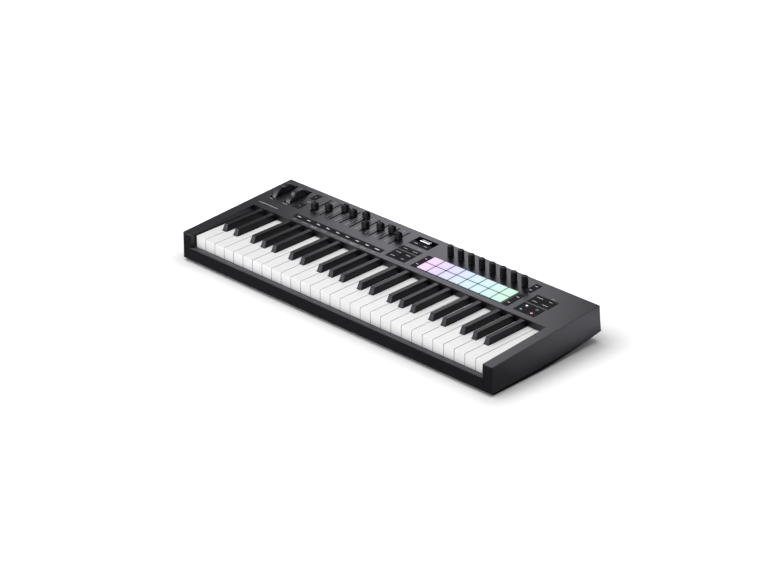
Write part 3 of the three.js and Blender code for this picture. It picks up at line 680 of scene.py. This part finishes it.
def add_octave(octave):
    """Twelve keys, each on its own CAD key in the modelled octave and on the octave's combs elsewhere."""
    left = MODEL_LEFT + (octave - MODEL_OCTAVE) * 7 * KEY_PITCH
    centres = {name: left + offset for name, offset in SHARP_OFFSET.items()}
    single = octave == MODEL_OCTAVE
    for i, name in enumerate(NATURALS):
        before = centres.get(NATURALS[i - 1]) if i else None
        after = centres.get(name)
        body = f"key_{name}{octave}" if single else f"natural_keys_octave_{octave}"
        natural_key(
            f"natural_{name}{octave}", body, left + i * KEY_PITCH,
            -NO_CUT if before is None else before + CUT_HALF,
            NO_CUT if after is None else after - CUT_HALF, body)
    for name, centre in centres.items():
        body = f"key_{name}_sharp_{octave}" if single else f"sharp_keys_octave_{octave}"
        sharp_key(f"sharp_{name}{octave}", body, centre, body)


for octave_number in (2, 3, 4, 5):
    add_octave(octave_number)
TOP_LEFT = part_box("key_c6")[0].x / MM - KEY_GAP / 2
natural_key("natural_c6", "key_c6", TOP_LEFT, -NO_CUT, NO_CUT, "key_c6")


# ---------------------------------------------------------------- wheels
NOTCH_WIDTH = math.radians(27)
NOTCH_DEPTH = 3.0
WHEEL_RIBS = 60
STEPS_PER_RIB = 3
RIB_DEPTH = 0.22


def wheel(name, joint, notch, hub, axle, node):
    """A thumb wheel: ribbed rubber rim with a thumb notch, recessed sides, hub and axle."""
    centre = to_panel(JOINTS[joint]["pos_m"])
    steps = WHEEL_RIBS * STEPS_PER_RIB

    def radius_at(step, radius, shape):
        if not shape:
            return radius
        off = (2 * math.pi * step / steps - notch + math.pi) % (2 * math.pi) - math.pi
        dip = math.cos(math.pi * off / NOTCH_WIDTH) if abs(off) < NOTCH_WIDTH / 2 else 0.0
        groove = RIB_DEPTH * shape * (1 - dip) if step % STEPS_PER_RIB == 0 else 0.0
        return radius - NOTCH_DEPTH * dip - groove

    # (x, radius, share of the rib depth)
    profile = [
        (axle[0], 2.9, 0), (hub[0], 2.9, 0), (hub[0], 6, 0), (-3.6, 6, 0), (-3.6, 24.6, 0), (-4.4, 25.2, 0),
        (-4.9, 25.9, 0.2), (-4.9, 27.9, 0.4), (-4.6, 28.7, 0.8), (-4.0, 29.1, 1), (-2, 29.2, 1),
        (2, 29.2, 1), (4.0, 29.1, 1), (4.6, 28.7, 0.8), (4.9, 27.9, 0.4), (4.9, 25.9, 0.2), (4.4, 25.2, 0),
        (3.6, 24.6, 0), (3.6, 6, 0), (hub[1], 6, 0), (hub[1], 2.9, 0), (axle[1], 2.9, 0),
    ]
    rings = []
    for x, radius, shape in profile:
        ring = []
        for i in range(steps):
            angle = 2 * math.pi * i / steps
            r = radius_at(i, radius, shape)
            ring.append((x + centre.x, centre.y + r * math.sin(angle), centre.z + r * math.cos(angle)))
        rings.append(ring)
    mesh = bmesh.new()
    loft(mesh, rings, PANEL_MM)
    piece = publish(name, mesh, node, wheel_rubber)
    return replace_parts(piece, node)


wheel("pitch_wheel_rim", "pitch_wheel_turn", 0.0, (-8.1, 13.2), (-10.4, 15.4), "pitch_wheel")
wheel("mod_wheel_rim", "mod_wheel_turn", math.radians(-33.5), (-16.1, 9.3), (-18.4, 11.7), "mod_wheel")


# ---------------------------------------------------------------- faders
# A cap's outline seen from its side: (along the panel, above the panel).
FADER_OUTLINE = [
    (-4.9, 0.8), (4.9, 0.8), (4.5, 12.2), (3.8, 12.8), (2.3, 12.8), (1.5, 5), (-1.2, 5), (-1.8, 13),
    (-4, 13.2), (-4.7, 12.4),
]
CAP_CORNER = 2.4


def fader_cap(number):
    """Two upright plates with a valley between them, on a steel lever."""
    node = f"fader_{number}"
    x0, x1, t0, t1, _, _ = panel_box(node)
    half = (x1 - x0) / 2
    x = (x0 + x1) / 2
    place = PANEL_MM @ Matrix.Translation((x, (t0 + t1) / 2, 0))
    outline = fillet(FADER_OUTLINE, 0.6)
    sides = [half, half - 0.08, half - 0.4, half - 0.9, half - 1.6, half - CAP_CORNER]
    rings = []
    for side in [-side for side in sides] + sides[::-1]:
        into = max(abs(side) - (half - CAP_CORNER), 0)
        drop = CAP_CORNER - math.sqrt(max(CAP_CORNER ** 2 - into ** 2, 0))
        slim = 1 - 0.06 * (into / CAP_CORNER) ** 4
        rings.append([(side, t * slim, h - drop * max(h - 6, 0) / 7) for t, h in outline])
    mesh = bmesh.new()
    loft(mesh, rings, place)
    cap = publish(f"fader_cap_{number}", mesh, node, control_plastic)
    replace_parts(cap, node)
    lever = bmesh.new()
    layers = [(-8.2, 0.2), (-8, 0), (1.5, 0)]
    cushion(lever, lambda inset: rounded_box(-0.6, 0.6, -2, 2, 0.3, inset), layers, place)
    publish(f"fader_lever_{number}", lever, node, steel)
    return x


# Each slot's middle, across the panel.
FADER_X = [fader_cap(number) for number in range(1, 10)]
SLOT_FRONT, SLOT_REAR = 199.3, 252.7
SLOT_HALF = 1.3
LEVER_CLEARANCE = 0.8


def dust_lips():
    """Black lips along both sides of each fader slot, with a gap for the lever; their black is partly painted
    shade of the slot.
    """
    mesh = bmesh.new()
    for x in FADER_X:
        for side in (-1, 1):
            edges = sorted((x + side * LEVER_CLEARANCE, x + side * (SLOT_HALF - 0.02)))
            blocks(mesh, [(*edges, SLOT_FRONT + 0.05, SLOT_REAR - 0.05, -1.4, -0.35)], PANEL_MM)
    publish("slot_lips", mesh, "case", slot_lips_and_painted_shade)


dust_lips()


# ---------------------------------------------------------------- encoders
FLUTE_DEPTH = 0.5


def encoder_knob(number):
    """A fluted knob with a smooth foot and a rounded, slightly dished top."""
    node = f"encoder_{number}"
    x0, x1, t0, t1, _, top = panel_box(node)
    radius = (x1 - x0) / 2
    place = PANEL_MM @ Matrix.Translation(((x0 + x1) / 2, (t0 + t1) / 2, 0))
    flutes = 20
    per_flute = 6
    steps = flutes * per_flute
    # (radius, height, share of the flute depth)
    profile = [
        (3.0, -7.5, 0), (3.0, 0.8, 0), (radius - 0.2, 0.8, 0), (radius, 1.0, 0), (radius, 2.2, 0),
        (radius - 0.05, 2.6, 0.6), (radius - 0.1, 3.4, 1), (radius - 0.3, top - 3.0, 1),
        (radius - 0.35, top - 2.2, 0.6), (radius - 0.4, top - 1.8, 0), (radius - 0.6, top - 1.1, 0),
        (radius - 1.0, top - 0.5, 0), (radius - 1.5, top - 0.1, 0), (radius - 1.9, top, 0),
        (radius - 2.4, top - 0.15, 0), (radius - 3.0, top - 0.4, 0), (1.4, top - 0.5, 0),
    ]
    rings = []
    for size, height, shape in profile:
        ring = []
        for i in range(steps):
            groove = 0.5 - 0.5 * math.cos(2 * math.pi * i / per_flute)
            r = size - FLUTE_DEPTH * shape * groove
            angle = 2 * math.pi * i / steps
            ring.append((r * math.cos(angle), r * math.sin(angle), height))
        rings.append(ring)
    mesh = bmesh.new()
    loft(mesh, rings, place)
    knob = publish(f"encoder_knob_{number}", mesh, node, control_plastic)
    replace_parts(knob, node)


for encoder_number in range(1, 9):
    encoder_knob(encoder_number)


# ---------------------------------------------------------------- pads
PAD_GAP = 1.0
PAD_LAYERS = [(-3.2, 0), (0.35, 0), (0.62, 0.1), (0.82, 0.32), (0.94, 0.7), (1.0, 1.4)]
PAD_LIT_HEIGHT = 0.7


def pads():
    """Sixteen pads standing on a thin web; each is lit above PAD_LIT_HEIGHT, and its sides are dimmer as painted
    shade between the pads.
    """
    left, right = MAT_LOW.x / MM, MAT_HIGH.x / MM
    pitch = (right - left) / PAD_COLUMNS
    tops = raised_tops("pad_mat")
    front = min(rect[2] for rect in tops) - (pitch - (tops[0][1] - tops[0][0])) / 2
    size = pitch - PAD_GAP
    for row in range(PAD_ROWS):
        for column in range(PAD_COLUMNS):
            x0 = left + pitch * column + PAD_GAP / 2
            t0 = front + pitch * row + PAD_GAP / 2
            mesh = bmesh.new()
            x1, t1 = x0 + size, t0 + size
            cushion(mesh, lambda inset: rounded_box(x0, x1, t0, t1, 1.9, inset, 6), PAD_LAYERS, PANEL_MM)
            pad = publish(f"pad_{row + 1}_{column + 1}", mesh, "pad_mat", pad_silicone)
            # Faces below PAD_LIT_HEIGHT take the dim side material: painted shade between the pads.
            pad.data.materials.append(pad_side_painted_shade)
            for face in pad.data.polygons:
                heights = [to_panel(pad.data.vertices[i].co).z for i in face.vertices]
                face.material_index = 1 if min(heights) < PAD_LIT_HEIGHT else 0
            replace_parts(pad, "pad_mat")
    web = bmesh.new()
    depth = pitch * PAD_ROWS
    blocks(web, [(left, right, front, front + depth, -4.2, -3.25)], PANEL_MM)
    publish("pad_web", web, "pad_mat", button_silicone, 0.2)


pads()


# ---------------------------------------------------------------- buttons and their legends
CAP_TOP = 0.35
BUTTON_LAYERS = [(-3.45, 0), (0.12, 0), (0.26, 0.06), (CAP_TOP, 0.24)]
PRINT_SINK = 0.05
PRINT_LIFT = 0.03


def flat_marks(name, shapes, height, body, material):
    """Printed or lit marks: thin raised outlines in the panel frame, standing on the given height."""
    mesh = bmesh.new()
    for outline in shapes:
        rings = [[(x, t, h) for x, t in outline] for h in (height - PRINT_SINK, height + PRINT_LIFT)]
        loft(mesh, rings, PANEL_MM)
    return publish(name, mesh, body, material)


def dash(x, t, width, depth):
    """A bar with round ends."""
    return rounded_box(x - width / 2, x + width / 2, t - depth / 2, t + depth / 2, depth * 0.4, 0, 2)


def disc(x, t, radius):
    return [(x + a, t + b) for a, b in circle(radius, 20)]


def triangle(x, t, size):
    """An arrow head that points right."""
    return [(x - size * 0.55, t - size * 0.62), (x + size * 0.7, t), (x - size * 0.55, t + size * 0.62)]


def loop_marks(x, t):
    """A rounded racetrack drawn with four dashes."""
    return [dash(x, t + 1.6, 5.0, 0.9), dash(x, t - 1.6, 5.0, 0.9), dash(x - 3.0, t, 0.9, 2.4),
            dash(x + 3.0, t, 0.9, 2.4)]


def button_mat(node, name):
    """Rounded caps on a mat's CAD places; gives their rectangles for the legends."""
    mesh = bmesh.new()
    rects = raised_tops(node)
    for x0, x1, t0, t1 in rects:
        cushion(mesh, lambda inset: rounded_box(x0, x1, t0, t1, 0.5, inset, 3), BUTTON_LAYERS, PANEL_MM)
    piece = publish(name, mesh, node, button_silicone)
    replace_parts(piece, node)
    return rects


def middle_of(rect):
    return (rect[0] + rect[1]) / 2, (rect[2] + rect[3]) / 2


left_caps = button_mat("left_button_mat", "left_buttons")
centre_caps = button_mat("centre_button_mat", "centre_buttons")
right_caps = button_mat("right_button_mat", "right_buttons")


def word(x, t, width, depth):
    """A generic legend: a short row of dashes that reads as small print and spells nothing."""
    letters = max(int(width / 1.5), 1)
    step = width / letters
    return [dash(x - width / 2 + step * (i + 0.5), t, step * 0.72, depth) for i in range(letters)]


def by_width(caps, limit):
    """Caps wider than the limit, and the rest."""
    wide = [rect for rect in caps if rect[1] - rect[0] > limit]
    narrow = [rect for rect in caps if rect[1] - rect[0] <= limit]
    return wide, narrow


WIDE_LEFT_CAP = 20
WIDE_CAP = 15


def left_legends():
    """Marks on the button row and on the small arrow buttons, and rows of dashes that label the row."""
    row, others = by_width(left_caps, WIDE_LEFT_CAP)
    marks = []
    for i, rect in enumerate(row):
        x, t = middle_of(rect)
        marks += [dash(x, t, 7.6 if i < 8 else 11.0, 1.7)]
    for rect in others:
        x, t = middle_of(rect)
        marks += [triangle(x, t - 0.5, 1.5)]
    flat_marks("left_legends", marks, CAP_TOP, "left_button_mat", print_white_painted_glow)
    labels = []
    for i, rect in enumerate(row):
        x, _ = middle_of(rect)
        labels += word(x, 160.6, (9, 14, 16, 13)[i % 4], 1.5)
        if i % 4 == 2:
            labels += word(x, 158.2, 13, 1.3)
    flat_marks("left_labels", labels, 0, "case", print_grey)


def centre_legends():
    """A row of dashes on each wide centre button, and one dash on each small one."""
    marks = []
    for i, rect in enumerate(centre_caps):
        x, t = middle_of(rect)
        if rect[1] - rect[0] > WIDE_CAP:
            marks += word(x, t, (9.5, 7, 8.5, 11)[i % 4], 1.3)
        else:
            marks += [dash(x, t, 4.4, 1.2)]
    flat_marks("centre_legends", marks, CAP_TOP, "centre_button_mat", print_white_painted_glow)


def right_legends():
    """Transport marks on the first four wide buttons, and dashes on the others."""
    wide, narrow = by_width(right_caps, WIDE_CAP)
    play, record, stop, loop = [middle_of(rect) for rect in wide[:4]]
    flat_marks("play_mark", [triangle(*play, 3.1)], CAP_TOP, "right_button_mat", lamp_green)
    flat_marks("record_mark", [disc(*record, 2.3)], CAP_TOP, "right_button_mat", lamp_red)
    flat_marks("stop_mark", [dash(*stop, 4.2, 3.8)], CAP_TOP, "right_button_mat", lamp_white)
    flat_marks("loop_mark", loop_marks(*loop), CAP_TOP, "right_button_mat", print_grey)
    marks = []
    for i, rect in enumerate(wide[4:]):
        x, t = middle_of(rect)
        marks += word(x, t, (10, 12, 13, 7)[i % 4], 1.3)
    for rect in narrow:
        x, t = middle_of(rect)
        marks += [dash(x, t, 5.2, 1.2)]
    flat_marks("right_legends", marks, CAP_TOP, "right_button_mat", print_white_painted_glow)


left_legends()
centre_legends()
right_legends()


def scale_marks():
    """Level marks between neighbouring fader slots."""
    marks = []
    count = 10
    for a, b in zip(FADER_X, FADER_X[1:]):
        x = (a + b) / 2
        for i in range(count):
            t = SLOT_FRONT + 4 + (SLOT_REAR - SLOT_FRONT - 7) * i / (count - 1)
            marks.append(dash(x, t, 7.0, 1.2))
    flat_marks("fader_scales", marks, 0, "case", print_faint)


def panel_labels():
    """Single dashes for the small headings on the panel, and a row of dashes where its title is."""
    marks = [
        dash(-272, 222.5, 9, 1.3), dash(0, 217.4, 8, 1.1), dash(292, 231.4, 8, 1.2),
        dash(-336.1, 190.0, 7.5, 1.1), dash(-301.5, 190.2, 12.6, 1.1),
    ]
    flat_marks("panel_labels", marks, 0, "case", print_grey)
    flat_marks("panel_title", word(-320.6, 168.4, 48, 2.4), 0, "case", print_white_painted_glow)


scale_marks()
panel_labels()


def display_marks():
    """Generic lit bars on the display."""
    low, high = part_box("display_window")
    middle = (low.x / MM + high.x / MM) / 2
    t0, t1 = to_panel(low).y, to_panel(high).y
    base = t0 + (t1 - t0) * 0.3
    marks = [dash(middle - 1, base, 22, 2.6)]
    for i in range(7):
        marks.append(dash(middle - 10 + i * 3.2, base + 4.6, 1.6, 1.0 + 2.2 * ((i * 3) % 4) / 3))
    flat_marks("display_bars", marks, 0.12, "case", screen_glow)


display_marks()


# ---------------------------------------------------------------- rear sockets
def along_y(x, y, z):
    """Places a turned part so that its axis points out of the rear, along +Y, from a row-frame point."""
    return Matrix.Translation((x, y, z)) @ Matrix.Rotation(math.radians(-90), 4, "X") @ Matrix.Scale(MM, 4)


PIN_CIRCLE = 4.4


def sockets():
    """A collar and five contacts in the MIDI socket, and a steel bushing in each pedal jack."""
    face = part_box("io_board")[1].y
    for opening in frame["record"]["physics"]["openings"]:
        low, high = [Vector(corner) for corner in opening["box_m"]]
        x, z = (low.x + high.x) / 2, (low.z + high.z) / 2
        place = along_y(x, face, z)
        collar = bmesh.new()
        if opening["name"] == "midi_socket":
            ring(collar, place, 7.6, 5.9, 0.0, 1.2)
            publish("midi_collar", collar, "case", module_plastic)
            pins = bmesh.new()
            for turn in (-90, -45, 0, 45, 90):
                angle = math.radians(turn - 90)
                spot = Matrix.Translation((PIN_CIRCLE * math.cos(angle), -PIN_CIRCLE * math.sin(angle), 0))
                lathe(pins, [(0.7, -8.2), (0.7, -4.2), (0.5, -3.9)], place @ spot, 10)
            publish("midi_contacts", pins, "case", gold)
        else:
            ring(collar, place, 4.3, 3.4, -1.0, 1.6)
            publish(opening["name"] + "_bushing", collar, "case", steel)


def ring(mesh, place, outer, inner, low, high):
    """A chamfered tube, closed on itself."""
    profile = [(inner, low), (outer, low), (outer, high - 0.3), (outer - 0.3, high), (inner + 0.2, high),
               (inner, high - 0.2)]
    steps = 40
    rows = [
        [mesh.verts.new(place @ Vector((x, y, z))) for x, y in circle(radius, steps)]
        for radius, z in profile
    ]
    for a, b in zip(rows, rows[1:] + rows[:1]):
        for i in range(steps):
            j = (i + 1) % steps
            mesh.faces.new((a[i], a[j], b[j], b[i]))


sockets()


# ---------------------------------------------------------------- floor, light, camera
def studio_floor():
    """A wide sheet of paper under the feet. It is left out of reflections, so it doesn't grey the case."""
    mesh = bmesh.new()
    bmesh.ops.create_grid(mesh, x_segments=8, y_segments=8, size=12)
    data = bpy.data.meshes.new("studio_floor")
    mesh.to_mesh(data)
    mesh.free()
    data.materials.append(floor_paint())
    floor = bpy.data.objects.new("studio_floor", data)
    floor.visible_glossy = False
    scene.collection.objects.link(floor)


SHEEN_COLOUR = (0.96, 0.94, 1.0)
FILL_COLOUR = (1, 1, 1)


def softbox(name, place, aim, width, height, radiance, sheen):
    """A rectangular light of the given surface brightness, turned to face a point.

    With sheen it shows only as gloss, and without it only as soft light.
    """
    lamp = bpy.data.lights.new(name, "AREA")
    lamp.shape = "RECTANGLE"
    lamp.size = width
    lamp.size_y = height
    lamp.energy = radiance * math.pi * width * height
    lamp.color = SHEEN_COLOUR if sheen else FILL_COLOUR
    light = bpy.data.objects.new(name, lamp)
    light.location = place
    light.rotation_mode = "QUATERNION"
    light.rotation_quaternion = (Vector(aim) - Vector(place)).to_track_quat("-Z", "Y")
    light.visible_camera = False
    light.visible_diffuse = not sheen
    light.visible_glossy = sheen
    scene.collection.objects.link(light)


studio_floor()
softbox("rear_softbox", (-0.60, 0.74, 0.62), (0.06, 0.08, 0.06), 0.50, 0.55, 2.6, True)
softbox("front_left_strip", (-0.95, -1.15, 0.32), (0, -0.05, 0.05), 1.6, 0.36, 11.0, True)
softbox("overhead", (-0.2, -0.3, 2.2), (0, 0, 0), 2.6, 2.6, 2.2, False)
softbox("front_fill", (-0.5, -2.2, 0.7), (0, 0, 0), 1.2, 0.9, 5.0, False)
softbox("right_edge_card", (0.80, 0.70, 0.70), (0.36, 0, 0.06), 0.6, 0.5, 3.6, True)
softbox("front_edge_card", (-0.95, -0.70, 1.0), (0, 0, 0.05), 0.9, 0.5, 2.4, True)
# Cards lying on the floor beside the right cheek, brighter toward the rear: they grade its gloss.
SIDE_CARDS = 5
CARD_X = 0.472
CARD_WIDTH, CARD_DEPTH = 0.16, 0.07
CARD_FIRST_Y = -0.08
CARD_STEP = 0.38
for card in range(SIDE_CARDS):
    card_y = CARD_FIRST_Y + CARD_DEPTH * card
    softbox(f"side_card_{card}", (CARD_X, card_y, 0.001), (CARD_X, card_y, 1), CARD_WIDTH, CARD_DEPTH,
            CARD_STEP * card, True)


def studio_world():
    """White where the camera sees it; a dim room for everything else, darkest low and to the left."""
    world = bpy.data.worlds.new("studio")
    world.use_nodes = True
    tree = world.node_tree

    def add(kind):
        return tree.nodes.new(kind)

    split = add("ShaderNodeSeparateXYZ")
    tree.links.new(add("ShaderNodeTexCoord").outputs["Generated"], split.inputs["Vector"])
    low = add("ShaderNodeMapRange")
    for socket, value in zip(("From Min", "From Max", "To Min", "To Max"), (-0.6, 0.7, 0.04, 0.26)):
        low.inputs[socket].default_value = value
    tree.links.new(split.outputs["X"], low.inputs["Value"])
    rise = add("ShaderNodeMapRange")
    for socket, value in zip(("From Min", "From Max"), (-0.1, 0.12)):
        rise.inputs[socket].default_value = value
    tree.links.new(split.outputs["Z"], rise.inputs["Value"])
    room = add("ShaderNodeMix")
    room.inputs["B"].default_value = 0.3
    tree.links.new(rise.outputs["Result"], room.inputs["Factor"])
    tree.links.new(low.outputs["Result"], room.inputs["A"])
    seen = add("ShaderNodeMix")
    seen.inputs["B"].default_value = 1.0
    tree.links.new(add("ShaderNodeLightPath").outputs["Is Camera Ray"], seen.inputs["Factor"])
    tree.links.new(room.outputs["Result"], seen.inputs["A"])
    tree.links.new(seen.outputs["Result"], tree.nodes["Background"].inputs["Strength"])
    tree.nodes["Background"].inputs["Color"].default_value = (1, 1, 1, 1)
    scene.world = world


studio_world()
scene.view_settings.view_transform = "Standard"


def add_camera():
    """The photo's camera, from the front and to the right of the keyboard."""
    azimuth = math.radians(43.92)
    elevation = math.radians(26.33)
    back = Vector((math.sin(azimuth) * math.cos(elevation), -math.cos(azimuth) * math.cos(elevation),
                   math.sin(elevation)))
    target = Vector((0.01467, -0.02789, 0.0495))
    distance = 4.7152
    lens = bpy.data.cameras.new("camera")
    lens.lens = 131.96
    lens.sensor_width = 36
    lens.clip_end = 60
    camera = bpy.data.objects.new("camera", lens)
    camera.location = target + back * distance
    camera.rotation_mode = "QUATERNION"
    roll = Matrix.Rotation(math.radians(0.09), 4, "Z").to_quaternion()
    camera.rotation_quaternion = (-back).to_track_quat("-Z", "Y") @ roll
    scene.collection.objects.link(camera)
    scene.camera = camera


add_camera()
